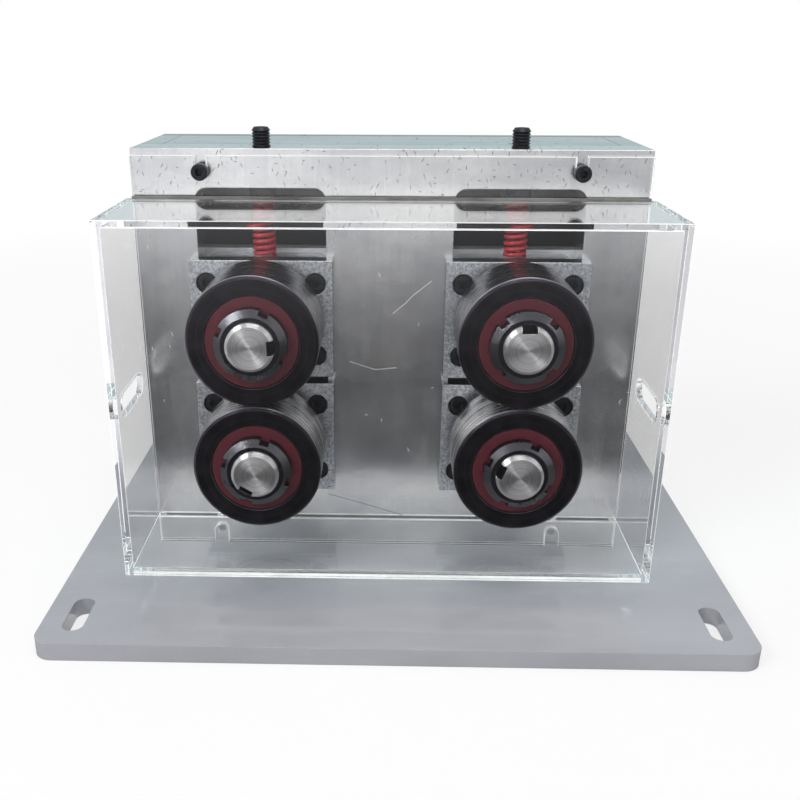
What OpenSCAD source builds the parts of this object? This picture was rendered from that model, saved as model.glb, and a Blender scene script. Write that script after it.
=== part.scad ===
// Wire straightener: two pairs of bearing-mounted rollers on an aluminium box frame.
// Millimetres, +Z up, front towards -Y. The wire runs along X between upper and lower rollers.

/* [Base plate] */
// Width of the base plate along X
base_w = 300; // [270:1:360]
// Depth of the base plate along Y
base_d = 270; // [240:1:330]
// Thickness of the base plate
base_t = 8; // [7:0.5:14]
// Corner radius of the base plate
base_corner_r = 8; // [3:0.5:12]
// Width of each fixing slot
slot_w = 9; // [6:0.5:11]
// End-to-end length of each fixing slot, along Y
slot_len = 26; // [18:1:34]
// Slot centre to the side edge of the base plate
slot_inset_x = 14; // [11:0.5:20]
// Slot centre to the front or back edge of the base plate
slot_inset_y = 23; // [20:0.5:30]
// Sideways offset of the box frame on the base plate
frame_shift_x = -4; // [-10:0.5:10]
// Front edge of the base plate to the front face of the box frame
front_margin = 91.5; // [80:0.5:110]

/* [Box frame] */
// Width of the box frame
frame_w = 220; // [212:1:236]
// Height of the box frame above the base plate
frame_h = 186; // [182:1:210]
// Depth of the box frame from front face to back face
frame_d = 70; // [66:1:95]
// Thickness of the front plate
front_t = 20; // [18:0.5:22]
// Thickness of each side plate
side_t = 10; // [8:0.5:12]
// Thickness of the top plate
top_t = 12; // [9:0.5:16]
// Thickness of the back plate
back_t = 8; // [7:0.5:12]
// Distance between the two roller columns
column_pitch = 111; // [108:0.5:116]
// Width of each window in the front plate
window_w = 56; // [54:0.5:58]
// Corner radius of each window
window_corner_r = 5; // [3:0.5:6]
// Height of the rim above the windows
rim_h = 16; // [14:0.5:20]

/* [Bearing blocks] */
// Width of the front flange and of the keeper plate
flange_w = 62; // [61:0.5:66]
// Height of the front flange and of the keeper plate
flange_h = 52; // [50:0.5:53]
// Thickness of the front flange
flange_t = 8; // [7:0.5:10]
// Overlap of the flange above and below the block body
flange_lap = 2; // [1:0.25:2.5]
// Thickness of the keeper plate behind the front plate
keeper_t = 8; // [7:0.5:10]
// Clearance of the sliding upper blocks on each guiding face
slide_gap = 0.1; // [0.05:0.05:0.3]
// Block screw distance along X
block_screw_dx = 47; // [46:0.5:48]
// Block screw distance along Z
block_screw_dz = 32; // [31:0.5:35]
// Thickness of the lip in front of the front bearing
lip_t = 3; // [2:0.25:4]
// Bore through the lip, round the shaft collar
lip_bore_d = 30; // [29:0.5:34]
// Width of the spacers between the two bearings of a shaft
bearing_spacer_w = 5; // [3:0.5:6]
// Diameter of the register mark on the lower left block
mark_d = 1.5; // [1:0.25:2]

/* [Rollers] */
// Outer diameter of each roller
roller_od = 55; // [53:0.5:57]
// Length of each roller along its axis
roller_len = 32; // [26:0.5:33]
// Gap between upper and lower roller at rest
roller_gap = 0.3; // [0.2:0.05:2]
// Height of the lower roller axes above the base plate
lower_axis_h = 59.5; // [58:0.5:62]
// Front face of the box frame to the back face of the rollers
roller_stand = 13; // [11:0.5:14]
// Edge chamfer of the rollers
roller_chamfer = 1.3; // [0.3:0.1:2]
// Diameter of the recess in the roller face
recess_d = 39; // [36:0.5:44]
// Depth of the recess in the roller face
recess_depth = 2.5; // [2.2:0.1:4]
// Thickness of the red washer in the recess
washer_t = 2; // [1:0.25:3]

/* [Shafts, keys and nuts] */
// Diameter of each shaft at the roller, bearings and thread
shaft_d = 20; // [18:0.5:20]
// Diameter of the shaft collar behind the roller
collar_d = 26; // [25:0.5:27]
// Length of the shaft end in front of the nut
shaft_proud = 2.5; // [1:0.25:3]
// Length of the shaft end behind the back bearing
shaft_tail = 3; // [2.5:0.25:6]
// Pitch of the fine thread on the shaft end
shaft_pitch = 1; // [0.75:0.25:1.5]
// Width of the key
key_w = 6; // [5:0.5:6]
// Height of the key
key_h = 6; // [5.5:0.25:6.5]
// Length of the key
key_len = 26; // [18:1:26]
// Depth of the keyway in the shaft
key_depth = 3; // [2.5:0.25:3.5]
// Outer diameter of the slotted nut
nut_od = 30; // [28:0.5:34]
// Diameter of the flat face of the slotted nut
nut_face_d = 24; // [23:0.5:26]
// Thickness of the slotted nut
nut_t = 6; // [5:0.25:6.5]
// Width of the four nut slots
nut_slot_w = 4; // [3:0.25:5]
// Depth of the four nut slots
nut_slot_depth = 2; // [1.5:0.25:2.5]

/* [Bearings] */
// Outer diameter of each ball bearing
bearing_od = 42; // [41:0.5:42]
// Width of each ball bearing
bearing_w = 12; // [11:0.25:12]
// Ball diameter
ball_d = 6.35; // [5.5:0.05:6.5]
// Number of balls in each bearing
ball_count = 9; // [7:1:10]
// Diameter of the retaining ring behind the back bearing
clip_od = 25; // [24:0.5:26]
// Thickness of the retaining ring
clip_t = 1.2; // [1:0.1:1.75]

/* [Springs and adjusters] */
// Furthest travel of each upper block, upwards
block_lift = 4; // [2:0.5:5]
// Thread diameter of the adjusting screws
adjuster_d = 8; // [6:0.5:8]
// Thread pitch of the adjusting screws
adjuster_pitch = 1.25; // [1:0.25:1.5]
// Stand of the adjusting screws above the box frame
adjuster_stand = 8; // [5:0.5:14]
// Front face of the box frame to the spring and adjuster axis
adjuster_y = 10; // [9:0.25:11]
// Outer diameter of each spring
spring_od = 11; // [10:0.5:12]
// Wire diameter of each spring
spring_wire = 1.6; // [1.2:0.1:1.7]
// Number of curls in each spring
spring_curls = 9; // [7:1:10]
// Thickness of the spring seat
seat_t = 3; // [2:0.25:4]
// Top of the spring seat to the underside of the window rim
seat_drop = 1; // [0.5:0.25:2]
// Depth of the pocket in the rim that the seat rises into
pocket_depth = 3; // [2.5:0.25:4]

/* [Guard] */
// Thickness of the clear panes
pane_t = 3; // [2:0.5:4]
// Depth of the guard in front of the box frame
guard_d = 58; // [57:0.5:66]
// Underside of the guard above the base plate
guard_bottom_h = 13.3; // [12:0.1:16]
// Top side of the guard above the base plate
guard_top_h = 165.5; // [160:0.5:166]
// Height of the upper fixing flange
guard_flange_h = 18; // [16:0.5:19]
// Distance of the guard screws along X
guard_screw_dx = 160; // [150:1:170]
// Height of the upper guard screws above the base plate
guard_screw_h = 177; // [175:0.5:178]
// Height of the lower guard holes above the base plate
guard_hole_h = 6.3; // [5:0.1:7]
// Width of the open slots in the upper flange
guard_slot_w = 4.7; // [4.4:0.1:5]
// Width of the open notches in the lower flange
guard_notch_w = 6.3; // [5:0.1:8]
// Height of the wire slots in the end panes
wire_slot_h = 10; // [7:0.5:16]
// Length of the wire slots in the end panes, along Y
wire_slot_len = 36; // [30:0.5:42]

/* [Screws] */
// Thread diameter of the block and frame screws
screw_d = 5; // [4:0.5:5]
// Head diameter of the block and frame screws
screw_head_d = 8.5; // [8:0.1:9]
// Head height of the block and frame screws
screw_head_h = 5; // [4:0.25:5]
// Width across flats of the hexagon socket in those heads
screw_socket = 4; // [3:0.5:4.5]
// Thread diameter of the guard screws
guard_screw_d = 4; // [3:0.5:4]
// Head diameter of the guard screws
guard_head_d = 7; // [6:0.25:8]
// Head height of the guard screws
guard_head_h = 4; // [3:0.25:4]
// Shank length of the guard screws
guard_screw_len = 12; // [8:1:14]
// Diameter of the dowel pins in the box frame
dowel_d = 5; // [4:0.5:6]
// Length of the dowel pins
dowel_len = 20; // [12:1:24]

/* [Hidden] */
$fn = 48;

left = -1;
right = 1;
lower = 0;
upper = 1;
sides = [left, right];

// Clearances: radial between fitted round pieces, and round screw shanks and heads
fit_gap = 0.02;
hole_gap = 0.25;
head_gap = 0.45;
// Radial clearance of the balls in their grooves, and of the shields round the inner rings
ball_gap = 0.15;
shield_gap = 0.4;
shield_t = 0.6;
race_wall = 2.4;

// Heights above the base plate
window_top = frame_h - rim_h;
body_h = flange_h - 2 * flange_lap;
window_bottom = lower_axis_h - body_h / 2;
body_top = axis_h(upper) + body_h / 2;
nip_h = lower_axis_h + roller_od / 2 + roller_gap / 2;
seat_top = window_top - seat_drop;
spring_top = seat_top - seat_t;
adjuster_top = frame_h + adjuster_stand;

// Places along Y, measured from the front face of the box frame
roller_back = -roller_stand;
roller_front = roller_back - roller_len;
recess_floor = roller_front + recess_depth;
washer_front = recess_floor - washer_t;
nut_front = washer_front - nut_t;
shaft_front = nut_front - shaft_proud;
lip_back = lip_t - flange_t;
bearing_back = lip_back + 2 * bearing_w + bearing_spacer_w;
clip_front = bearing_back + 2 * fit_gap;
shaft_back = bearing_back + shaft_tail;
guard_front = -guard_d;

// Bearing radii
ball_circle_r = (bearing_od + shaft_d) / 4;
inner_ring_r = ball_circle_r - race_wall;
outer_ring_r = ball_circle_r + race_wall;

// The block bodies are rounded a little more than the windows
body_corner_extra = 0.5;

// Block screws: the head sinks this deep and the tip ends inside the keeper plate
sink_depth = screw_head_h + 0.3;
screw_tip_gap = 1;
block_screw_len = flange_t - sink_depth + front_t + keeper_t - screw_tip_gap;

// Frame screws: from below through the base plate, through the side plates and the back plate
base_screw_len = 18;
cover_screw_len = 16;
base_screw_x = 92;
side_screw_y = front_t + (frame_d - front_t - back_t) / 2;
side_x = frame_w / 2 - side_t / 2;
top_screw_z = frame_h - top_t / 2;
top_screw_y = [front_t + 14, frame_d - back_t - 14];
back_screw_foot = 20;
back_screw_drop = 24;
back_screw_z = [back_screw_foot, frame_h / 2, frame_h - back_screw_drop];
back_screw_x = 50;
// How far a head's seat is cut towards the outside, and how far a cut runs past a face
seat_reach = 20;
past = 1;
dowel_z = [60, 150];
dowel_x = 20;

// Turn of each key and nut, clockwise from the top as seen from the front
function key_turn(side, level) = level == upper ? (side == left ? 90 : 0) : (side == left ? 210 : 290);
function nut_turn(side, level) = level == upper ? (side == left ? 24 : 45) : (side == left ? 17 : 25);
function axis_h(level) = lower_axis_h + (level == upper ? roller_od + roller_gap : 0);
function block_gap(level) = level == upper ? slide_gap : 0;

// ---------- helpers ----------
// Moves from the frame of the box (front face, centre, base plate's top) to the frame of the part
module in_box() translate([frame_shift_x, front_margin - base_d / 2, base_t]) children();
module at_station(side, level)
  in_box() translate([side * column_pitch / 2, 0, axis_h(level)]) children();
module at_adjuster(side) in_box() translate([side * column_pitch / 2, adjuster_y, 0]) children();

// A round bar along Y from y0 to y1
module bar_y(y0, y1, d) translate([0, y0, 0]) rotate([-90, 0, 0]) cylinder(h = y1 - y0, d = d);
// A 2D outline, drawn as X and Z, extruded along Y from y0 to y1
module slab_y(y0, y1) translate([0, y1, 0]) rotate([90, 0, 0]) linear_extrude(y1 - y0) children();
// A 2D profile, drawn as radius and Y, turned about the Y axis
module lathe_y() rotate([-90, 0, 0]) rotate_extrude() children();
// A turned ring with chamfered outer edges, from radius r0 to r1 and from y0 to y1
module ring_y(r0, r1, y0, y1, c = 0.3)
  lathe_y() polygon([[r0, y0], [r1 - c, y0], [r1, y0 + c], [r1, y1 - c], [r1 - c, y1], [r0, y1]]);

module rounded_rect(w, h, r) {
  square([w - 2 * r, h], center = true);
  square([w, h - 2 * r], center = true);
  for (x = [-1, 1], y = [-1, 1])
    translate([x * (w / 2 - r), y * (h / 2 - r)]) circle(r = r);
}
module obround(length, width) {
  square([length - width, width], center = true);
  for (x = [-1, 1]) translate([x * (length - width) / 2, 0]) circle(d = width);
}

// A socket screw along Z: its head stands on z = 0 and its shank reaches down
module socket_screw(d, head_d, head_h, socket, len) {
  edge = 0.4;
  difference() {
    union() {
      cylinder(h = head_h - edge, d = head_d);
      translate([0, 0, head_h - edge]) cylinder(h = edge, d1 = head_d, d2 = head_d - 2 * edge);
      translate([0, 0, -len]) cylinder(h = len + edge, d = d);
    }
    translate([0, 0, head_h * 0.4])
      cylinder(h = head_h, d = socket / cos(30), $fn = 6);
  }
}
// The hole for such a screw: a sunk seat above z = 0 and a clearance or thread hole below
module screw_hole(d, head_d, sink, len) {
  cylinder(h = sink, d = head_d);
  translate([0, 0, -len]) cylinder(h = len + 0.01, d = d);
}
// Profile of a ring-cut thread from z0 to z1, as points of radius and height
function thread_rise(r, depth, pitch, z0, z1) = [
  for (i = [0 : floor((z1 - z0) / pitch) - 1], s = [0, 1])
    [s == 0 ? r - depth : r, z0 + (i + (s == 0 ? 0 : 0.5)) * pitch]
];
// ---------- base and box frame ----------
module slots_2d()
  for (x = [-1, 1], y = [-1, 1])
    translate([x * (base_w / 2 - slot_inset_x), y * (base_d / 2 - slot_inset_y)])
      rotate(90) obround(slot_len, slot_w);

// Places of the screws that come up through the base plate, in the frame of the box
function base_screw_places() = concat(
  [for (x = [-base_screw_x, 0, base_screw_x]) [x, front_t / 2]],
  [for (s = sides) [s * side_x, side_screw_y]],
  [for (s = sides) [s * back_screw_x, frame_d - back_t / 2]]
);
module at_base_screws()
  in_box() for (p = base_screw_places())
    translate([p[0], p[1], -base_t + sink_depth]) rotate([180, 0, 0]) children();
module at_side_screws()
  in_box() for (s = sides, y = top_screw_y)
    translate([s * (frame_w / 2 - sink_depth), y, top_screw_z]) rotate([0, s * 90, 0]) children();
module at_back_screws()
  in_box() for (s = sides) {
    for (z = back_screw_z)
      translate([s * side_x, frame_d - sink_depth, z]) rotate([-90, 0, 0]) children();
    translate([s * back_screw_x, frame_d - sink_depth, top_screw_z]) rotate([-90, 0, 0]) children();
  }
module at_dowels()
  in_box() {
    for (s = sides, z = dowel_z) translate([s * side_x, front_t, z]) children();
    for (s = sides) translate([s * dowel_x, front_t, top_screw_z]) children();
  }
// Wide seats and clearance shanks, as cut in the plate under the heads
module head_cut(len) screw_hole(screw_d + 2 * hole_gap, screw_head_d + 2 * head_gap, seat_reach, len);
// Thread holes, as cut in the plate that the screw holds
module thread_cut(len) screw_hole(screw_d + 2 * fit_gap, fit_gap, fit_gap, len + past);
module dowel_cut()
  bar_y(-dowel_len / 2 - 1, dowel_len / 2 + 1, dowel_d + 2 * fit_gap);

module base_plate() {
  color([0.72, 0.73, 0.76])
    difference() {
      linear_extrude(base_t) difference() {
        rounded_rect(base_w, base_d, base_corner_r);
        slots_2d();
      }
      at_base_screws() head_cut(base_screw_len);
    }
}

module window_2d(side)
  translate([side * column_pitch / 2, (window_top + window_bottom) / 2])
    rounded_rect(window_w, window_top - window_bottom, window_corner_r);

module front_plate() {
  color([0.62, 0.62, 0.64])
    difference() {
      in_box() difference() {
        slab_y(0, front_t) difference() {
          translate([-frame_w / 2, 0]) square([frame_w, frame_h]);
          for (s = sides) window_2d(s);
        }
        for (s = sides) {
          // Upper guard screw holes and the empty lower ones
          translate([s * guard_screw_dx / 2, 0, guard_screw_h])
            bar_y(-1, guard_screw_len, guard_screw_d + 2 * fit_gap);
          translate([s * guard_screw_dx / 2, 0, guard_hole_h])
            bar_y(-1, guard_screw_len, guard_screw_d - 0.7);
        }
      }
      for (s = sides) at_adjuster(s) {
        translate([0, 0, window_top - 1])
          cylinder(h = rim_h + 2, d = adjuster_d + 0.1);
        translate([0, 0, window_top - 1]) cylinder(h = pocket_depth + 1, d = spring_od + 2);
      }
      at_base_screws() thread_cut(base_screw_len);
      at_dowels() dowel_cut();
    }
}

module side_plate(side) {
  color([0.66, 0.66, 0.68])
    difference() {
      in_box() translate([side > 0 ? frame_w / 2 - side_t : -frame_w / 2, front_t, 0])
        cube([side_t, frame_d - front_t - back_t, frame_h]);
      at_base_screws() thread_cut(base_screw_len);
      at_side_screws() head_cut(cover_screw_len);
      at_back_screws() thread_cut(cover_screw_len);
      at_dowels() dowel_cut();
    }
}

module top_plate() {
  color([0.68, 0.7, 0.72])
    difference() {
      in_box() translate([side_t - frame_w / 2, front_t, frame_h - top_t])
        cube([frame_w - 2 * side_t, frame_d - front_t - back_t, top_t]);
      at_side_screws() thread_cut(cover_screw_len);
      at_back_screws() thread_cut(cover_screw_len);
      at_dowels() dowel_cut();
    }
}

module back_plate() {
  color([0.64, 0.64, 0.66])
    difference() {
      in_box() translate([-frame_w / 2, frame_d - back_t, 0]) cube([frame_w, back_t, frame_h]);
      at_base_screws() thread_cut(base_screw_len);
      at_back_screws() head_cut(cover_screw_len);
    }
}

module frame_fasteners() {
  color([0.12, 0.12, 0.13]) {
    at_base_screws() frame_screw(base_screw_len);
    at_side_screws() frame_screw(cover_screw_len);
    at_back_screws() frame_screw(cover_screw_len);
    at_dowels() bar_y(-dowel_len / 2, dowel_len / 2, dowel_d);
  }
}
module frame_screw(len) socket_screw(screw_d, screw_head_d, screw_head_h, screw_socket, len);

// ---------- guard ----------
module guard_front_pane() {
  color([0.85, 0.93, 0.95, 0.35])
    in_box() translate([-frame_w / 2, guard_front, guard_bottom_h])
      cube([frame_w, pane_t, guard_top_h - guard_bottom_h - pane_t]);
}
module guard_top_pane() {
  color([0.85, 0.93, 0.95, 0.35])
    in_box() translate([-frame_w / 2, guard_front, guard_top_h - pane_t])
      cube([frame_w, guard_d, pane_t]);
}
module guard_bottom_pane() {
  color([0.85, 0.93, 0.95, 0.35])
    in_box() translate([-frame_w / 2, guard_front + pane_t, guard_bottom_h])
      cube([frame_w, guard_d - pane_t, pane_t]);
}
module guard_end_panes() {
  color([0.85, 0.93, 0.95, 0.35])
    for (s = sides)
      difference() {
        in_box() translate([s > 0 ? frame_w / 2 : -frame_w / 2 - pane_t, guard_front, guard_bottom_h])
          cube([pane_t, guard_d, guard_top_h - guard_bottom_h]);
        in_box() translate([s * frame_w / 2, (roller_front + roller_back) / 2, nip_h])
          rotate([90, 0, 90]) linear_extrude(4 * pane_t, center = true)
            obround(wire_slot_len, wire_slot_h);
      }
}
module guard_flanges() {
  color([0.85, 0.93, 0.95, 0.35])
    in_box() slab_y(-pane_t, 0) {
      difference() {
        translate([-frame_w / 2, guard_top_h]) square([frame_w, guard_flange_h]);
        for (s = sides) translate([s * guard_screw_dx / 2, guard_screw_h]) {
          circle(d = guard_slot_w);
          translate([-guard_slot_w / 2, 0]) square([guard_slot_w, guard_flange_h]);
        }
      }
      difference() {
        translate([-frame_w / 2, 0]) square([frame_w, guard_bottom_h]);
        for (s = sides) translate([s * guard_screw_dx / 2, guard_hole_h]) {
          circle(d = guard_notch_w);
          translate([-guard_notch_w / 2, -guard_hole_h - 1])
            square([guard_notch_w, guard_hole_h + 1]);
        }
      }
    }
}
module guard_screws() {
  color([0.1, 0.1, 0.11])
    in_box() for (s = sides)
      translate([s * guard_screw_dx / 2, -pane_t, guard_screw_h]) rotate([90, 0, 0])
        socket_screw(guard_screw_d, guard_head_d, guard_head_h, guard_screw_d - 1, guard_screw_len);
}

// ---------- bearing blocks ----------
// Places of the four screws of a block, head towards the front
module at_block_screws(side, level)
  at_station(side, level)
    for (x = [-1, 1], z = [-1, 1])
      translate([x * block_screw_dx / 2, sink_depth - flange_t, z * block_screw_dz / 2])
        rotate([90, 0, 0]) children();

module block(side, level) {
  g = block_gap(level);
  color([0.7, 0.72, 0.75])
    difference() {
      at_station(side, level) difference() {
        union() {
          slab_y(-flange_t, -g) square([flange_w, flange_h], center = true);
          slab_y(-g, front_t + g)
            rounded_rect(window_w - 2 * slide_gap, body_h, window_corner_r + body_corner_extra);
        }
        bar_y(lip_back, front_t + g + past, bearing_od + 2 * fit_gap);
        bar_y(-flange_t - past, lip_back + past, lip_bore_d);
        if (side == left && level == lower)
          translate([flange_w / 2 - 1.6 * mark_d, 0, mark_d - flange_h / 2])
            bar_y(-flange_t - past, past - flange_t, mark_d);
      }
      at_block_screws(side, level) head_cut(block_screw_len + screw_tip_gap + past);
    }
}
module keeper(side, level) {
  y0 = front_t + block_gap(level);
  color([0.66, 0.67, 0.69])
    difference() {
      at_station(side, level) difference() {
        slab_y(y0, y0 + keeper_t) square([flange_w, flange_h], center = true);
        bar_y(y0 - past, bearing_back, bearing_od + 2 * fit_gap);
        bar_y(y0 - past, y0 + keeper_t + past, lip_bore_d);
      }
      // These holes run right through the keeper plate
      at_block_screws(side, level) thread_cut(block_screw_len + screw_tip_gap + past);
    }
}
module block_screws(side, level) {
  color([0.1, 0.1, 0.11])
    at_block_screws(side, level) frame_screw(block_screw_len);
}
// The outer rings with their shields, and the spacer ring between them
module bearing_rings(side, level) {
  color([0.75, 0.75, 0.77])
    at_station(side, level) {
      for (i = [0, 1]) {
        y0 = lip_back + i * (bearing_w + bearing_spacer_w);
        ymid = y0 + bearing_w / 2;
        difference() {
          union() {
            ring_y(outer_ring_r, bearing_od / 2, y0, y0 + bearing_w);
            for (y = [y0 + 0.4, y0 + bearing_w - 0.4 - shield_t])
              ring_y(inner_ring_r + shield_gap, outer_ring_r + 0.5, y, y + shield_t, 0);
          }
          lathe_y() translate([ball_circle_r, ymid]) circle(d = ball_d + 2 * ball_gap);
        }
      }
      spacer_y = lip_back + bearing_w;
      ring_y(outer_ring_r, bearing_od / 2, spacer_y + fit_gap, spacer_y + bearing_spacer_w - fit_gap);
    }
}

// ---------- what turns with a shaft ----------
// The inner rings with their balls, and the spacer tube between them
module bearing_core(side, level) {
  color([0.78, 0.78, 0.8])
    at_station(side, level) {
      for (i = [0, 1]) {
        y0 = lip_back + i * (bearing_w + bearing_spacer_w);
        ymid = y0 + bearing_w / 2;
        difference() {
          ring_y(shaft_d / 2 + fit_gap, inner_ring_r, y0, y0 + bearing_w, 0);
          lathe_y() translate([ball_circle_r, ymid]) circle(d = ball_d + 2 * ball_gap);
        }
        for (a = [0 : 360 / ball_count : 359])
          rotate([0, a, 0]) translate([ball_circle_r, ymid, 0]) sphere(d = ball_d);
      }
      spacer_y = lip_back + bearing_w;
      ring_y(shaft_d / 2 + fit_gap, inner_ring_r, spacer_y + fit_gap,
        spacer_y + bearing_spacer_w - fit_gap, 0);
    }
}

module shaft(side, level) {
  r = shaft_d / 2;
  edge = 1.2;
  groove = 0.55 * shaft_pitch;
  thread_back = washer_front + 1;
  color([0.8, 0.8, 0.82])
    at_station(side, level) difference() {
      lathe_y() polygon(concat(
        [[0, shaft_front], [r - edge, shaft_front]],
        thread_rise(r, groove, shaft_pitch, shaft_front + edge / 2, thread_back),
        [
          [r, thread_back], [r, roller_back], [collar_d / 2, roller_back],
          [collar_d / 2, lip_back], [r, lip_back], [r, clip_front], [r - 0.5, clip_front],
          [r - 0.5, clip_front + clip_t], [r, clip_front + clip_t], [r, shaft_back - 0.8],
          [r - 0.8, shaft_back], [0, shaft_back]
        ]
      ));
      rotate([0, key_turn(side, level), 0])
        translate([-key_w / 2, shaft_front - 1, r - key_depth])
          cube([key_w, key_back() + fit_gap - shaft_front + 1, r]);
    }
}
function key_back() = roller_back - 3;

module key(side, level) {
  color([0.6, 0.6, 0.62])
    at_station(side, level) rotate([0, key_turn(side, level), 0])
      translate([fit_gap - key_w / 2, key_back() - key_len, shaft_d / 2 - key_depth + fit_gap])
        cube([key_w - 2 * fit_gap, key_len, key_h]);
}

module roller(side, level) {
  r = roller_od / 2;
  c = roller_chamfer;
  color([0.16, 0.16, 0.18])
    at_station(side, level) difference() {
      lathe_y() polygon([
        [shaft_d / 2 + fit_gap, roller_back], [r - c, roller_back], [r, roller_back - c],
        [r, roller_front + c], [r - c, roller_front], [recess_d / 2 + 0.3, roller_front],
        [recess_d / 2, roller_front + 0.3], [recess_d / 2, recess_floor],
        [shaft_d / 2 + fit_gap, recess_floor]
      ]);
      rotate([0, key_turn(side, level), 0])
        translate([-key_w / 2, roller_front - 1, 0])
          cube([key_w, roller_len + 2, shaft_d / 2 - key_depth + key_h + 10 * fit_gap]);
    }
}

module washer(side, level) {
  color([0.45, 0.1, 0.1])
    at_station(side, level)
      ring_y(shaft_d / 2 + fit_gap, recess_d / 2 - 0.2, washer_front, recess_floor, 0.3);
}

module nut(side, level) {
  slope = (nut_od - nut_face_d) / 2 * tan(30);
  color([0.2, 0.2, 0.22])
    at_station(side, level) difference() {
      lathe_y() polygon([
        [shaft_d / 2 + fit_gap, nut_front + 0.5], [shaft_d / 2 + fit_gap + 0.5, nut_front],
        [nut_face_d / 2, nut_front], [nut_od / 2, nut_front + slope],
        [nut_od / 2, washer_front - 0.4], [nut_od / 2 - 0.4, washer_front],
        [shaft_d / 2 + fit_gap, washer_front]
      ]);
      for (a = [0 : 90 : 270])
        rotate([0, nut_turn(side, level) + a, 0])
          translate([-nut_slot_w / 2, nut_front - 1, nut_od / 2 - nut_slot_depth])
            cube([nut_slot_w, nut_t + 2, nut_od]);
    }
}

module clip(side, level) {
  color([0.14, 0.14, 0.15])
    at_station(side, level) difference() {
      ring_y(shaft_d / 2 - 0.5 + fit_gap, clip_od / 2,
        clip_front + fit_gap, clip_front + clip_t - fit_gap, 0);
      translate([-3, clip_front - 1, 0]) cube([6, clip_t + 2, clip_od]);
    }
}

// ---------- springs, seats and adjusting screws ----------
// The spring is one tube of six sides. Its path lies on a cylinder, as turn in degrees and height:
// a straight upright end, a quarter bend, the curls, and the same again at the top.
coil_r = (spring_od - spring_wire) / 2;
spring_len = spring_top - body_top;
bend_r = 0.9 * spring_wire;
bend_steps = 3;
tube_sides = 6;
rings_per_curl = 8;
bend_turn = bend_r / coil_r * 180 / PI;
coil_start = spring_wire + bend_r;
coil_rise = spring_len - 2 * coil_start;
coil_steps = spring_curls * rings_per_curl;
half_path = concat(
  [[0, 0], [0, spring_wire]],
  [for (i = [1 : bend_steps])
    let (a = 90 * i / (bend_steps + 0.5))
      [bend_turn * (1 - cos(a)), spring_wire + bend_r * sin(a)]]
);
coil_path = [for (i = [0 : coil_steps])
  [bend_turn + 360 * i / rings_per_curl, coil_start + coil_rise * i / coil_steps]];
full_turn = 2 * bend_turn + 360 * spring_curls;
spring_path = concat(
  half_path, coil_path,
  [for (i = [len(half_path) - 1 : -1 : 0]) [full_turn - half_path[i][0], spring_len - half_path[i][1]]]
);
last = len(spring_path) - 1;
function spring_point(i) = let (p = spring_path[i])
  [coil_r * cos(p[0] + 90), coil_r * sin(p[0] + 90), p[1]];
spring_points = [for (i = [0 : last]) spring_point(i)];
function unit(v) = v / norm(v);
function tube_dir(i) = i <= 1 || i >= last - 1 ? [0, 0, 1]
  : unit(spring_points[i + 1] - spring_points[i - 1]);
function tube_ring(i) = let (
    out = [cos(spring_path[i][0] + 90), sin(spring_path[i][0] + 90), 0],
    up = cross(tube_dir(i), out)
  ) [for (k = [0 : tube_sides - 1])
      spring_points[i] + spring_wire / 2 * (cos(60 * k) * out + sin(60 * k) * up)];
tube_points = [for (i = [0 : last], p = tube_ring(i)) p];
tube_faces = concat(
  [for (k = [1 : tube_sides - 2]) [0, k, k + 1]],
  [for (i = [0 : last - 1], k = [0 : tube_sides - 1], h = [0, 1])
    let (a = i * tube_sides + k, b = i * tube_sides + (k + 1) % tube_sides)
      h == 0 ? [a, a + tube_sides, b] : [b, a + tube_sides, b + tube_sides]],
  [for (k = [1 : tube_sides - 2])
    [last * tube_sides, last * tube_sides + k + 1, last * tube_sides + k]]
);
// Least gap of the tube to itself, over points more than half a curl apart along the path
tube_gap = min([for (i = [0 : last], j = [i + 1 : last])
  if (abs(spring_path[j][0] - spring_path[i][0]) > 180)
    norm(spring_points[j] - spring_points[i]) - spring_wire]);
echo(spring_tube_least_gap_mm = tube_gap);

module spring(side) {
  color([0.72, 0.1, 0.12])
    at_adjuster(side) translate([0, 0, body_top]) polyhedron(points = tube_points, faces = tube_faces);
}

module seat(side) {
  spigot_d = spring_od - 2 * spring_wire - 0.8;
  color([0.2, 0.2, 0.21])
    at_adjuster(side) {
      translate([0, 0, spring_top]) cylinder(h = seat_t, d = spring_od + 0.5);
      translate([0, 0, spring_top - seat_t]) cylinder(h = seat_t + 0.01, d = spigot_d);
    }
}

module adjuster(side) {
  r = adjuster_d / 2;
  edge = 1;
  depth = 0.5 * adjuster_pitch;
  color([0.1, 0.1, 0.11])
    at_adjuster(side) difference() {
      rotate_extrude() polygon(concat(
        [[0, seat_top], [r - edge, seat_top]],
        thread_rise(r, depth, adjuster_pitch, seat_top + edge / 2, adjuster_top - edge / 2),
        [[r - edge, adjuster_top], [0, adjuster_top]]
      ));
      translate([0, 0, adjuster_top - adjuster_d / 2])
        cylinder(h = adjuster_d, d = adjuster_d / 2 / cos(30), $fn = 6);
    }
}

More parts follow.
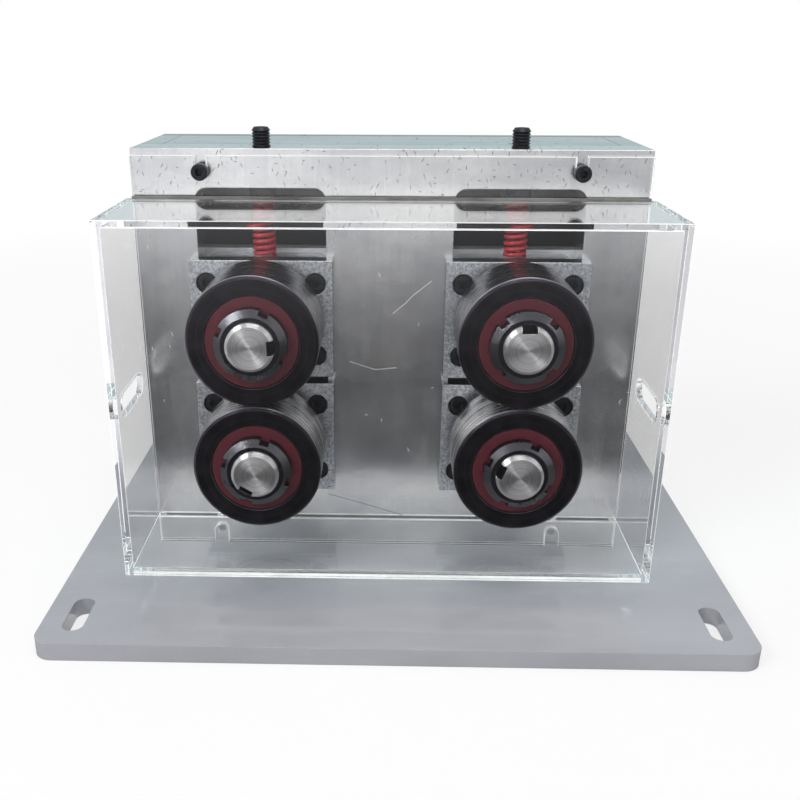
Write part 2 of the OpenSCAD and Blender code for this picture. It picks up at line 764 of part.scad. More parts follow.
base_plate();
front_plate();
side_plate(left);  // left_side_plate
side_plate(right);  // right_side_plate
top_plate();
back_plate();
frame_fasteners();
guard_front_pane();
guard_top_pane();
guard_bottom_pane();
guard_end_panes();
guard_flanges();
guard_screws();
block(left, lower);  // lower_block_left
block(right, lower);  // lower_block_right
for (s = sides) keeper(s, lower);  // lower_keepers
for (s = sides) block_screws(s, lower);  // lower_block_screws
for (s = sides) bearing_rings(s, lower);  // lower_bearing_rings
spring(left);  // spring_left
spring(right);  // spring_right
block(left, upper);  // upper_block_left
keeper(left, upper);  // upper_keeper_left
block_screws(left, upper);  // upper_block_screws_left
bearing_rings(left, upper);  // upper_bearing_rings_left
block(right, upper);  // upper_block_right
keeper(right, upper);  // upper_keeper_right
block_screws(right, upper);  // upper_block_screws_right
bearing_rings(right, upper);  // upper_bearing_rings_right
roller(left, upper);  // roller_upper_left
shaft(left, upper);  // shaft_upper_left
key(left, upper);  // key_upper_left
washer(left, upper);  // washer_upper_left
nut(left, upper);  // nut_upper_left
bearing_core(left, upper);  // bearing_core_upper_left
clip(left, upper);  // clip_upper_left
roller(right, upper);  // roller_upper_right
shaft(right, upper);  // shaft_upper_right
key(right, upper);  // key_upper_right
washer(right, upper);  // washer_upper_right
nut(right, upper);  // nut_upper_right
bearing_core(right, upper);  // bearing_core_upper_right
clip(right, upper);  // clip_upper_right
roller(left, lower);  // roller_lower_left
shaft(left, lower);  // shaft_lower_left
key(left, lower);  // key_lower_left
washer(left, lower);  // washer_lower_left
nut(left, lower);  // nut_lower_left
bearing_core(left, lower);  // bearing_core_lower_left
clip(left, lower);  // clip_lower_left
roller(right, lower);  // roller_lower_right
shaft(right, lower);  // shaft_lower_right
key(right, lower);  // key_lower_right
washer(right, lower);  // washer_lower_right
nut(right, lower);  // nut_lower_right
bearing_core(right, lower);  // bearing_core_lower_right
clip(right, lower);  // clip_lower_right
adjuster(left);  // adjuster_left
adjuster(right);  // adjuster_right
seat(left);  // seat_left
seat(right);  // seat_right
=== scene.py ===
"""Wire straightener: the finishes and the fine pieces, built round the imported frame.

Metres, +Z up, front towards -Y."""

import math

import bmesh
import bpy
from mathutils import Matrix, Vector


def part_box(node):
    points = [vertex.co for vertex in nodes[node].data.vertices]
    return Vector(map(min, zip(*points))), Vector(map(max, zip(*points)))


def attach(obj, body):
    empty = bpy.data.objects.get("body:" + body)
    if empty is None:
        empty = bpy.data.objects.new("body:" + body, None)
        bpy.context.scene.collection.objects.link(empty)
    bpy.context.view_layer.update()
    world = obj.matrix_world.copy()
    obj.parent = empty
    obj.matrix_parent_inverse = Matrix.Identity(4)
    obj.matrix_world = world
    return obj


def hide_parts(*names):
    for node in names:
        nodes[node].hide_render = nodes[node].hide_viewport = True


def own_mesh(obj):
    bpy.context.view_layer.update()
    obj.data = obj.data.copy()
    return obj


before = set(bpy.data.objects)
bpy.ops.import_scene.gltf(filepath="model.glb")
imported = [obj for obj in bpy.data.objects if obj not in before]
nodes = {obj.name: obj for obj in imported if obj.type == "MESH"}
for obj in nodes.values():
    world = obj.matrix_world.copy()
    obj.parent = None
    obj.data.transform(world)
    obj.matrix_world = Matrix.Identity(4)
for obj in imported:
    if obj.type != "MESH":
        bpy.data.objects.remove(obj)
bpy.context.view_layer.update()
MM = 0.001
SAME_PLACE = 0.01 * MM
ACRYLIC_IOR = 1.49
SIDES = ("left", "right")
STATIONS = [f"{level}_{side}" for level in ("upper", "lower") for side in SIDES]
BOX_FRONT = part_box("front_plate")[0].y


# ---------------------------------------------------------------- camera
def place_camera():
    """The camera at the photograph's viewing angle; pixels are those of an 800 x 800 frame."""
    focal_px, frame_px, sensor = 983.8, 800.0, 36.0
    principal = (363.5, 457.0)
    spot = Vector((-4.5, -473.1, 235.1)) * MM
    down, yaw, roll = (math.radians(a) for a in (22.844, -1.422, 0.108))
    ahead = Vector((math.sin(yaw) * math.cos(down), math.cos(yaw) * math.cos(down), -math.sin(down)))
    right = Vector((math.cos(yaw), -math.sin(yaw), 0))
    up = right.cross(ahead)
    right, up = right * math.cos(roll) + up * math.sin(roll), up * math.cos(roll) - right * math.sin(roll)
    lens = bpy.data.cameras.new("camera")
    lens.sensor_width = sensor
    lens.lens = focal_px / frame_px * sensor
    lens.shift_x = (frame_px / 2 - principal[0]) / frame_px
    lens.shift_y = (principal[1] - frame_px / 2) / frame_px
    lens.clip_start, lens.clip_end = 0.01, 50
    camera = bpy.data.objects.new("camera", lens)
    camera.matrix_world = Matrix.Translation(spot) @ Matrix((right, up, -ahead)).transposed().to_4x4()
    bpy.context.scene.collection.objects.link(camera)
    bpy.context.scene.camera = camera


place_camera()


# ---------------------------------------------------------------- small helpers
def paint(code):
    """An sRGB hex code as Blender's linear colour."""
    parts = [int(code[i:i + 2], 16) / 255 for i in (1, 3, 5)]
    return [c / 12.92 if c <= 0.04045 else ((c + 0.055) / 1.055) ** 2.4 for c in parts] + [1.0]


def add(tree, kind, inputs=None, out=0, **settings):
    """A shader node and the output asked for. An input is given a value, a hex colour or an output."""
    made = tree.nodes.new("ShaderNode" + kind)
    for name, value in settings.items():
        setattr(made, name, value)
    for name, value in (inputs or {}).items():
        if isinstance(value, bpy.types.NodeSocket):
            tree.links.new(value, made.inputs[name])
        elif isinstance(value, str):
            made.inputs[name].default_value = paint(value)
        else:
            made.inputs[name].default_value = value
    return made.outputs[out] if made.outputs else made


def start(name):
    """A new material: itself, its tree, its Principled shader and the object coordinates."""
    material = bpy.data.materials.new(name)
    material.use_nodes = True
    tree = material.node_tree
    tree.nodes.clear()
    shader = tree.nodes.new("ShaderNodeBsdfPrincipled")
    add(tree, "OutputMaterial", {"Surface": shader.outputs[0]})
    return material, tree, shader, add(tree, "TexCoord", out="Object")


def finish(tree, shader, colour, rough, relief, depth_mm, edge_mm):
    """Links colour, roughness and relief of depth_mm to the shader, over edges rounded by edge_mm."""
    tree.links.new(colour, shader.inputs["Base Color"])
    tree.links.new(rough, shader.inputs["Roughness"])
    rounded = add(tree, "Bevel", {"Radius": edge_mm * MM}, samples=6)
    normal = add(tree, "Bump", {"Height": relief, "Distance": depth_mm * MM, "Normal": rounded})
    tree.links.new(normal, shader.inputs["Normal"])


def show(tree, surface):
    """Gives the material this surface in place of its plain shader."""
    out = next(node for node in tree.nodes if node.type == "OUTPUT_MATERIAL")
    tree.links.new(surface, out.inputs["Surface"])


def clouds(tree, place, size_mm, stretch=(1, 1, 1), detail=4.0, rough=0.55):
    """Soft lumps about size_mm across, longer along the stretched axes, from 0 to 1 about 0.5."""
    scale = [1 / (size_mm * MM * s) for s in stretch]
    where = add(tree, "Mapping", {"Vector": place, "Scale": scale})
    return add(tree, "TexNoise", {"Vector": where, "Scale": 1.0, "Detail": detail, "Roughness": rough}, "Fac")


def nicks(tree, place, turn, length_mm, width_mm, spacing_mm, share):
    """Short straight nicks in planes that face along Y, turned by turn degrees from upright: 1 on a nick."""
    turned = add(tree, "Mapping", {"Vector": place, "Rotation": (0, math.radians(turn), 0)})
    reach = 0.13  # a nick's half width as a share of its cell
    cell = (width_mm / (2 * reach) * MM, spacing_mm * MM, length_mm / (2 * reach) * MM)
    where = add(tree, "Mapping", {"Vector": turned, "Scale": [1 / c for c in cell]})
    far = add(tree, "TexVoronoi", {"Vector": where, "Scale": 1.0}, "Distance")
    kind = add(tree, "TexVoronoi", {"Vector": where, "Scale": 1.0}, "Color")
    picked = add(tree, "Math", {0: add(tree, "SeparateColor", {0: kind}), 1: share}, operation="LESS_THAN")
    mark = add(tree, "MapRange", {0: far, 1: reach * 0.6, 2: reach, 3: 1.0, 4: 0.0})
    return add(tree, "Math", {0: mark, 1: picked}, operation="MULTIPLY")


def any_of(tree, *marks):
    """The strongest of several marks at each place."""
    top = marks[0]
    for mark in marks[1:]:
        top = add(tree, "Math", {0: top, 1: mark}, operation="MAXIMUM")
    return top


def two_tone(tree, pattern, low, high, first, second, share=1.0):
    """Colour first where the pattern is at low or less, going over to a share of second at high."""
    amount = add(tree, "MapRange", {0: pattern, 1: low, 2: high, 3: 0.0, 4: share})
    return add(tree, "Mix", {0: amount, 6: first, 7: second}, 2, data_type="RGBA")


def round_axis(tree, place, centre):
    """A turned part's coordinates about its axis along Y: from its centre, straight out, and its radius."""
    local = add(tree, "Mapping", {"Vector": place, "Location": [-c for c in centre]})
    outward = add(tree, "VectorMath", {0: local, 1: (1, 0, 1)}, operation="MULTIPLY")
    return local, outward, add(tree, "VectorMath", {0: outward}, "Value", operation="LENGTH")


def ring_marks(tree, along, per_mm, detail, rough=0.5):
    """Turning marks, about per_mm of them to a millimetre of a coordinate, from 0 to 1 about 0.5.
    Real feed marks are some 10 to a millimetre: here they are as coarse as they need to be to show."""
    where = add(tree, "Math", {0: along, 1: per_mm / MM}, operation="MULTIPLY")
    settings = {"W": where, "Scale": 1.0, "Detail": detail, "Roughness": rough}
    return add(tree, "TexNoise", settings, "Fac", noise_dimensions="1D")


def faces_front_or_back(tree):
    """How far a face looks along -Y (minus 1) or +Y (plus 1)."""
    return add(tree, "SeparateXYZ", {0: add(tree, "TexCoord", out="Normal")}, "Y")


def dress(material, *names):
    """Gives CAD nodes their finish."""
    for name in names:
        slots = nodes[name].data.materials
        slots.clear()
        slots.append(material)


# ---------------------------------------------------------------- finishes
def scratch(tree, place, start_mm, end_mm, width_mm=0.4):
    """A hairline scratch in a plane that faces along Y, from one (x, z) to another: 1 on the line."""
    across, rise = end_mm[0] - start_mm[0], end_mm[1] - start_mm[1]
    length = math.hypot(across, rise) * MM
    local = add(tree, "Mapping", {"Vector": place, "Location": (start_mm[0] * MM, 0, start_mm[1] * MM),
                                  "Rotation": (0, -math.atan2(rise, across), 0)}, vector_type="TEXTURE")
    nearest = add(tree, "VectorMath", {0: local, 1: (0, -1, 0)}, operation="MAXIMUM")
    nearest = add(tree, "VectorMath", {0: nearest, 1: (length, 1, 0)}, operation="MINIMUM")
    off = add(tree, "VectorMath", {0: local, 1: nearest}, operation="SUBTRACT")
    off = add(tree, "VectorMath", {0: off}, "Value", operation="LENGTH")
    return add(tree, "MapRange", {0: off, 1: width_mm / 4 * MM, 2: width_mm / 2 * MM, 3: 1.0, 4: 0.0})


# Kinds of nick on the plates: turn from upright in degrees, length, and depth of their cells along Y
NICK_KINDS = ((22, 2.5, 40), (-30, 2.9, 30), (85, 1.7, 35), (4, 2.1, 45))
NICK_WIDTH_MM = 0.42


def milled_plate(name, tones=("#cfd0d3", "#f1f1f0"), nicked=1.0, scratches=(), joints=()):
    """Milled aluminium plate as handled in a workshop: bright metal with soft reflections, clouds of
    grease, faint upright milling lines and short nicks, crowded near the top edge. The nicks and
    scratches are painted dark near the top edge and near the foot: painted shade, darker than the
    bright metal round them. A dark hairline runs at each joint with the next plate, given as (axis,
    place in millimetres)."""
    material, tree, shader, place = start(name)
    height = add(tree, "SeparateXYZ", {0: place}, "Z")
    grease = clouds(tree, place, 24, (2.0, 1, 1), detail=5, rough=0.6)
    wipes = clouds(tree, place, 8, (1, 1, 3), detail=2)
    lines = clouds(tree, place, 0.8, (1, 1, 50), detail=3)
    tone = add(tree, "Math", {0: grease, 1: add(tree, "MapRange", {0: lines, 3: 0.4, 4: 0.6})},
               operation="ADD")
    colour = two_tone(tree, tone, 0.8, 1.2, *tones)
    crowd = add(tree, "MapRange", {0: height, 1: 0.15, 2: 0.168, 3: 0.012 * nicked, 4: 0.8 * nicked})
    marks = any_of(tree, *(nicks(tree, place, turn, length, NICK_WIDTH_MM, depth, crowd)
                           for turn, length, depth in NICK_KINDS),
                   *(scratch(tree, place, *ends) for ends in scratches))
    # Nicks and scratches near the foot and near the top edge are painted dark: painted shade.
    near_foot = add(tree, "MapRange", {0: height, 1: 0.040, 2: 0.045, 3: 1.0, 4: 0.0})
    near_top = add(tree, "MapRange", {0: height, 1: 0.150, 2: 0.160})
    mark_tone_with_painted_shade = two_tone(tree, any_of(tree, near_foot, near_top), 0.0, 1.0, "#fbfbfa", "#8c8c87")
    colour = two_tone(tree, marks, 0.0, 1.0, colour, mark_tone_with_painted_shade)
    rough = add(tree, "MapRange", {0: wipes, 1: 0.35, 2: 0.65, 3: 0.2, 4: 0.24})
    rough = add(tree, "Mix", {0: marks, 2: rough, 3: 0.6})
    for axis, at_mm in joints:
        along = add(tree, "SeparateXYZ", {0: place}, axis)
        away = add(tree, "Math", {0: along, 1: at_mm * MM}, operation="SUBTRACT")
        away = add(tree, "Math", {0: away}, operation="ABSOLUTE")
        gap = add(tree, "MapRange", {0: away, 1: 0.1 * MM, 2: 0.4 * MM, 3: 0.85, 4: 0.0})
        colour = two_tone(tree, gap, 0.0, 1.0, colour, "#26282b")
    shader.inputs["Metallic"].default_value = 1.0
    finish(tree, shader, colour, rough, marks, -0.004, 0.5)
    return material


def blasted_block():
    """Aluminium blocks: the flange faces are bead blasted, a matt mottle of light and dark specks;
    the other faces are milled smooth."""
    material, tree, shader, place = start("bead_blasted_aluminium")
    front = add(tree, "MapRange", {0: faces_front_or_back(tree), 1: -0.6, 2: -0.9})
    specks = clouds(tree, place, 1.0, detail=5, rough=0.8)
    sheen = clouds(tree, place, 14, detail=3)
    blasted = two_tone(tree, specks, 0.4, 0.6, "#989da5", "#f4f6f8")
    blasted = two_tone(tree, sheen, 0.35, 0.7, blasted, "#b4b8bf", 0.35)
    colour = two_tone(tree, front, 0.0, 1.0, "#a9abb0", blasted)
    rough = add(tree, "MapRange", {0: specks, 1: 0.3, 2: 0.7, 3: 0.48, 4: 0.3})
    rough = add(tree, "Mix", {0: front, 2: 0.22, 3: rough})
    relief = add(tree, "Math", {0: specks, 1: front}, operation="MULTIPLY")
    shader.inputs["Metallic"].default_value = 1.0
    finish(tree, shader, colour, rough, relief, 0.08, 0.6)
    return material


def coated_base():
    """Grey powder coat on steel, flowed out smooth: pale, with a clear mirror at low angles and
    faint clouds where it was wiped."""
    material, tree, shader, place = start("smooth_grey_powder_coat")
    wiped = clouds(tree, place, 45, (2.5, 1, 1))
    dust = clouds(tree, place, 0.8, detail=2)
    colour = two_tone(tree, wiped, 0.35, 0.65, "#9fa0a6", "#abacb2")
    colour = two_tone(tree, dust, 0.62, 0.75, colour, "#c2c4c8", 0.2)
    rough = add(tree, "MapRange", {0: wiped, 1: 0.35, 2: 0.65, 3: 0.03, 4: 0.07})
    shader.inputs["IOR"].default_value = 1.6
    finish(tree, shader, colour, rough, dust, 0.002, 0.6)
    return material


def roller_steel(name, centre, reach, lip, barrel_tones):
    """Tool steel, oil blackened: nearly black faces with a brown cast and faint turned rings, a rim
    of radius reach and a recess of radius lip whose arrises are painted lighter, partly as wear and partly as
    a painted highlight, and a ground barrel."""
    material, tree, shader, place = start(name)
    local, _, radius = round_axis(tree, place, centre)
    steep = add(tree, "Math", {0: faces_front_or_back(tree)}, operation="ABSOLUTE")
    barrel = add(tree, "MapRange", {0: steep, 1: 0.35, 2: 0.2})
    rim = add(tree, "MapRange", {0: radius, 1: reach - 0.4 * MM, 2: reach - 0.25 * MM})
    off_lip = add(tree, "Math", {0: radius, 1: lip}, operation="SUBTRACT")
    off_lip = add(tree, "Math", {0: off_lip}, operation="ABSOLUTE")
    mouth = add(tree, "MapRange", {0: off_lip, 1: 0.1 * MM, 2: 0.3 * MM, 3: 1.0, 4: 0.0})
    haze = clouds(tree, local, 7, detail=5)
    rings = ring_marks(tree, radius, 0.6, 2.0)
    grooves = ring_marks(tree, add(tree, "SeparateXYZ", {0: local}, "Y"), 0.42, 4.0, 0.7)
    face = two_tone(tree, haze, 0.3, 0.7, "#232026", "#322e35")
    face = two_tone(tree, rings, 0.55, 0.8, face, "#454147", 0.2)
    # Rim and recess arrises painted lighter all round: partly wear, partly a painted highlight.
    face = two_tone(tree, any_of(tree, rim, mouth), 0.0, 1.0, face, "#77757a")
    ground = two_tone(tree, grooves, 0.35, 0.65, *barrel_tones)
    colour = two_tone(tree, barrel, 0.0, 1.0, face, ground)
    face_rough = add(tree, "MapRange", {0: haze, 1: 0.3, 2: 0.7, 3: 0.28, 4: 0.42})
    ground_rough = add(tree, "MapRange", {0: grooves, 1: 0.3, 2: 0.7, 3: 0.2, 4: 0.34})
    rough = add(tree, "Mix", {0: barrel, 2: face_rough, 3: ground_rough})
    relief = add(tree, "Mix", {0: barrel, 2: 0.5, 3: grooves})
    shader.inputs["Metallic"].default_value = 1.0
    finish(tree, shader, colour, rough, relief, 0.006, 0.15)
    return material


def turned_end(name, centre):
    """Turned shaft steel: fine rings on the end face stretch each light into a bow tie."""
    material, tree, shader, place = start(name)
    local, outward, radius = round_axis(tree, place, centre)
    rings = ring_marks(tree, radius, 1.1, 3.0)
    haze = clouds(tree, local, 4, detail=4)
    colour = two_tone(tree, rings, 0.3, 0.7, "#c0bec1", "#e2e0e0")
    rough = add(tree, "MapRange", {0: haze, 1: 0.3, 2: 0.7, 3: 0.3, 4: 0.4})
    tree.links.new(add(tree, "VectorMath", {0: outward}, operation="NORMALIZE"), shader.inputs["Tangent"])
    shader.inputs["Anisotropic"].default_value = 0.95
    shader.inputs["Metallic"].default_value = 1.0
    finish(tree, shader, colour, rough, rings, 0.002, 0.3)
    return material


def plain_metal(name, dark, light, rough, size_mm, metallic=1.0, depth_mm=0.004, painted_chamfer_highlight=None):
    """A turned, drawn or ground metal, or enamel on it, with a slight cloud in its tone and its gloss,
    and, if given, a lighter tone painted on its chamfers as a painted highlight."""
    material, tree, shader, place = start(name)
    haze = clouds(tree, place, size_mm, detail=5)
    colour = two_tone(tree, haze, 0.3, 0.7, dark, light)
    if painted_chamfer_highlight:
        # Faces sloping between front and side, the chamfers, are painted lighter: a painted highlight.
        steep = add(tree, "Math", {0: faces_front_or_back(tree)}, operation="ABSOLUTE")
        sloping = add(tree, "Math", {0: steep, 1: 0.62, 2: 0.3}, operation="COMPARE")
        colour = two_tone(tree, sloping, 0.0, 1.0, colour, painted_chamfer_highlight)
    gloss = add(tree, "MapRange", {0: haze, 1: 0.3, 2: 0.7, 3: rough * 0.8, 4: rough * 1.25})
    shader.inputs["Metallic"].default_value = metallic
    finish(tree, shader, colour, gloss, haze, depth_mm, 0.2)
    return material


def clear_acrylic():
    """Cast acrylic sheet: clear, IOR 1.49, wiped with a dry cloth. Lamps reach what is behind it
    through the shadow ray share."""
    material, tree, shader, place = start("cast_acrylic")
    shader.inputs["Base Color"].default_value = paint("#ffffff")
    shader.inputs["Transmission Weight"].default_value = 1.0
    shader.inputs["IOR"].default_value = ACRYLIC_IOR
    smear = clouds(tree, place, 12, (1, 1, 2.5))
    rough = add(tree, "MapRange", {0: smear, 1: 0.55, 2: 0.8, 3: 0.0, 4: 0.02})
    tree.links.new(rough, shader.inputs["Roughness"])
    passing = add(tree, "BsdfTransparent", {0: "#f7fafa"})
    shadow = add(tree, "LightPath", out="Is Shadow Ray")
    show(tree, add(tree, "MixShader", {0: shadow, 1: shader.outputs[0], 2: passing}))
    return material


def sawn_acrylic():
    """The broken arrises, sawn ends and glue beads of the guard: acrylic with a fine sawn frost, white,
    with a faint painted glow standing in for the light that the sheet leads to its ends."""
    material, tree, shader, place = start("sawn_acrylic_arris_painted_glow")
    frost = clouds(tree, place, 0.6, detail=3)
    shader.inputs["Transmission Weight"].default_value = 0.45
    # Painted glow: emission in place of the light that the sheet leads to its ends.
    shader.inputs["Emission Color"].default_value = paint("#ffffff")
    shader.inputs["Emission Strength"].default_value = 0.3
    shader.inputs["IOR"].default_value = ACRYLIC_IOR
    tree.links.new(two_tone(tree, frost, 0.0, 1.0, "#e9eced", "#fdfdfd"), shader.inputs["Base Color"])
    tree.links.new(add(tree, "MapRange", {0: frost, 3: 0.3, 4: 0.6}), shader.inputs["Roughness"])
    return material


def cement_trace(name, dark, light, glow):
    """A sawn acrylic end wetted by solvent cement: cloudy, with small clearer patches, and given a
    painted glow, an emission for the light that the sheet leads to it. Dark and without glow, it also makes a
    line of painted shade."""
    material, tree, shader, place = start(name)
    patches = clouds(tree, place, 5, (3, 1, 1))
    # Painted glow: emission in place of the light led through the sheet.
    shader.inputs["Emission Color"].default_value = paint("#ffffff")
    shader.inputs["Emission Strength"].default_value = glow
    tree.links.new(two_tone(tree, patches, 0.3, 0.6, dark, light), shader.inputs["Base Color"])
    tree.links.new(add(tree, "MapRange", {0: patches, 3: 0.6, 4: 0.3}), shader.inputs["Roughness"])
    return material


# Hairline scratches of the front plate: ends of their straight runs, in millimetres along X and Z
PLATE_SCRATCHES = (((-2.1, 124.0), (3.1, 128.5)), ((3.1, 128.5), (6.6, 132.2)), ((6.6, 132.2), (14.4, 138.5)),
                   ((-21.4, 101.5), (-10.0, 97.8)), ((-10.0, 97.8), (-0.4, 98.8)),
                   ((-31.8, 35.1), (-14.4, 30.0)), ((-14.4, 30.0), (3.6, 24.3)))

# Where the plates of the box meet
FRONT_JOINT, BACK_JOINT = (("Y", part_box("front_plate")[1].y / MM), ("Y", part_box("back_plate")[0].y / MM))
END_JOINTS = tuple(("X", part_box("top_plate")[end].x / MM) for end in (0, 1))

cement_painted_glow_finish = cement_trace("cemented_acrylic_end_painted_glow", "#c9cccd", "#f6f7f7", 0.15)
# A dark ribbon for the top corner of the guard: painted shade, not cement.
painted_shade_finish = cement_trace("acrylic_corner_painted_shade", "#4b4c49", "#82837f", 0.0)
plate_finish = milled_plate("milled_aluminium_plate", scratches=PLATE_SCRATCHES, joints=(FRONT_JOINT,))
side_finish = milled_plate("milled_aluminium_bar", ("#c6c7c9", "#dcddde"), 0.4,
                           joints=(FRONT_JOINT, BACK_JOINT, *END_JOINTS))
# The back plate's tones are darker than those of the other plates: painted shade for the dim inside of the
# box.
back_plate_painted_shade_finish = milled_plate("back_plate_aluminium_painted_shade", ("#7d7e82", "#97989b"), 0.3, joints=(BACK_JOINT,))
block_finish = blasted_block()
keeper_finish = plain_metal("milled_aluminium_keeper", "#dedfe2", "#f2f3f4", 0.6, 8)
screw_finish = plain_metal("black_oxide_screw_steel", "#232428", "#37383e", 0.36, 1.5, 0.8)
red_finish = plain_metal("red_lacquer", "#4a0d1a", "#5c1324", 0.5, 2, 0.0)
spring_finish = plain_metal("red_enamel_spring_wire", "#981624", "#b01e2d", 0.3, 2, 0.0, 0.01)
# The nut's chamfers are painted lighter: a painted highlight.
nut_finish = plain_metal("black_oxide_nut_steel", "#2e2d35", "#3b3a43", 0.3, 6, 1.0, 0.0, "#58585c")
key_finish = plain_metal("oil_blackened_key_steel", "#1f1e22", "#302e34", 0.35, 3)
bearing_finish = plain_metal("ground_bearing_steel", "#a9abae", "#bfc1c4", 0.18, 4)
clear_finish = clear_acrylic()
arris_painted_glow_finish = sawn_acrylic()

dress(coated_base(), "base_plate")
dress(plate_finish, "front_plate")
dress(side_finish, "left_side_plate", "right_side_plate", "top_plate")
dress(back_plate_painted_shade_finish, "back_plate")
dress(screw_finish, "frame_fasteners", "guard_screws", "lower_block_screws", "upper_block_screws_left",
      "upper_block_screws_right", "adjuster_left", "adjuster_right", "seat_left", "seat_right",
      *[f"clip_{s}" for s in STATIONS])
dress(block_finish, "lower_block_left", "lower_block_right", "upper_block_left", "upper_block_right")
dress(keeper_finish, "lower_keepers", "upper_keeper_left", "upper_keeper_right")
dress(spring_finish, "spring_left", "spring_right")
dress(bearing_finish, "lower_bearing_rings", "upper_bearing_rings_left", "upper_bearing_rings_right",
      *[f"bearing_core_{s}" for s in STATIONS])
# The lower barrels are worn brighter by the wire, the right one most
FRESH_BARREL = ("#3a383d", "#7d7b7f")
WORN_BARRELS = {"lower_left": ("#4a484c", "#c4c2bf"), "lower_right": ("#7b797c", "#f2f0ed")}
for station in STATIONS:
    low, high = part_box(f"roller_{station}")
    middle = (low + high) / 2
    reach = (high.x - low.x) / 2
    ring_low, ring_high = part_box(f"washer_{station}")
    lip = (ring_high.x - ring_low.x) / 2 + 0.3 * MM
    tones = WORN_BARRELS.get(station, FRESH_BARREL)
    dress(roller_steel(f"oil_blackened_steel_{station}", middle, reach, lip, tones), f"roller_{station}")
    dress(turned_end(f"turned_shaft_steel_{station}", middle), f"shaft_{station}")
    dress(key_finish, f"key_{station}")
    dress(red_finish, f"washer_{station}")
    dress(nut_finish, f"nut_{station}")


# ---------------------------------------------------------------- springs
def link(name, shape, material):
    """A finished bmesh as an object at the origin, its faces pointing outwards."""
    bmesh.ops.recalc_face_normals(shape, faces=shape.faces)
    mesh = bpy.data.meshes.new(name)
    shape.to_mesh(mesh)
    shape.free()
    mesh.materials.append(material)
    made = bpy.data.objects.new(name, mesh)
    bpy.context.scene.collection.objects.link(made)
    return made


def wind_spring(side):
    """A compression spring of round wire with closed ends, between the block and the seat."""
    low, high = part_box(f"spring_{side}")
    wire = 1.9 * MM
    end_turns, free_turns, steps = 1, 8, 24
    end_rise = 1.03 * wire  # closed turns: the wire lies on itself with a hair of air
    free_rise = (high.z - low.z - wire - 2 * end_turns * end_rise) / free_turns
    centre = Vector(((low.x + high.x) / 2, (low.y + high.y) / 2, low.z + wire / 2))
    turning = Matrix.Translation(centre + Vector(((high.x - low.x - wire) / 2, 0, 0))) @ Matrix.Rotation(
        math.radians(90), 4, "X")
    shape = bmesh.new()
    ring = bmesh.ops.create_circle(shape, cap_ends=True, segments=10, radius=wire / 2,
                                   matrix=turning)["verts"]
    last = list({edge for vert in ring for edge in vert.link_edges}) + ring
    for turns, rise in ((end_turns, end_rise), (free_turns, free_rise), (end_turns, end_rise)):
        last = bmesh.ops.spin(shape, geom=last, cent=centre, axis=(0, 0, 1), dvec=(0, 0, rise / steps),
                              angle=2 * math.pi * turns, steps=steps * turns, use_merge=False,
                              use_duplicate=False)["geom_last"]
    bmesh.ops.contextual_create(shape, geom=[item for item in last if isinstance(item, bmesh.types.BMEdge)])
    for face in shape.faces:
        face.smooth = len(face.verts) == 4
    spring = link(f"wound_spring_{side}", shape, spring_finish)
    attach(spring, "frame")
    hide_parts(f"spring_{side}")
    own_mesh(spring)


for side in SIDES:
    wind_spring(side)


# ---------------------------------------------------------------- guard
PANES = ("guard_front_pane", "guard_top_pane", "guard_bottom_pane", "guard_end_panes", "guard_flanges")
SAWN = 1  # the guard's second material slot; the first is the clear sheet


def pane_copy(node):
    """The node's mesh with its doubles merged, as a new object."""
    shape = bmesh.new()
    shape.from_mesh(nodes[node].data)
    bmesh.ops.remove_doubles(shape, verts=shape.verts, dist=0.002 * MM)
    return link(f"copy_of_{node}", shape, clear_finish)


def freeze(piece):
    """Turns a piece's modifiers into its mesh."""
    seen = piece.evaluated_get(bpy.context.evaluated_depsgraph_get())
    mesh = bpy.data.meshes.new_from_object(seen)
    piece.modifiers.clear()
    piece.data = mesh


def lies_at(face, facing, at):
    """Whether a flat face looks a way and lies at a place along it."""
    return face.normal.dot(facing) > 0.99 and abs(face.verts[0].co.dot(facing) - at) < 0.1 * MM


def saw_strip(shape, facing, at, along, low, high):
    """Gives the sawn finish, with its painted glow, to the strip, from low to high, of the flat faces that
    face a way at a place.
    """
    facing, along = Vector(facing), Vector(along)
    for limit in (low, high):
        faces = [face for face in shape.faces if lies_at(face, facing, at)]
        whole = faces + list({e for f in faces for e in f.edges}) + list({v for f in faces for v in f.verts})
        bmesh.ops.bisect_plane(shape, geom=whole, dist=0.001 * MM, plane_co=along * limit, plane_no=along)
    for face in shape.faces:
        if lies_at(face, facing, at) and low < face.calc_center_median().dot(along) < high:
            face.material_index = SAWN


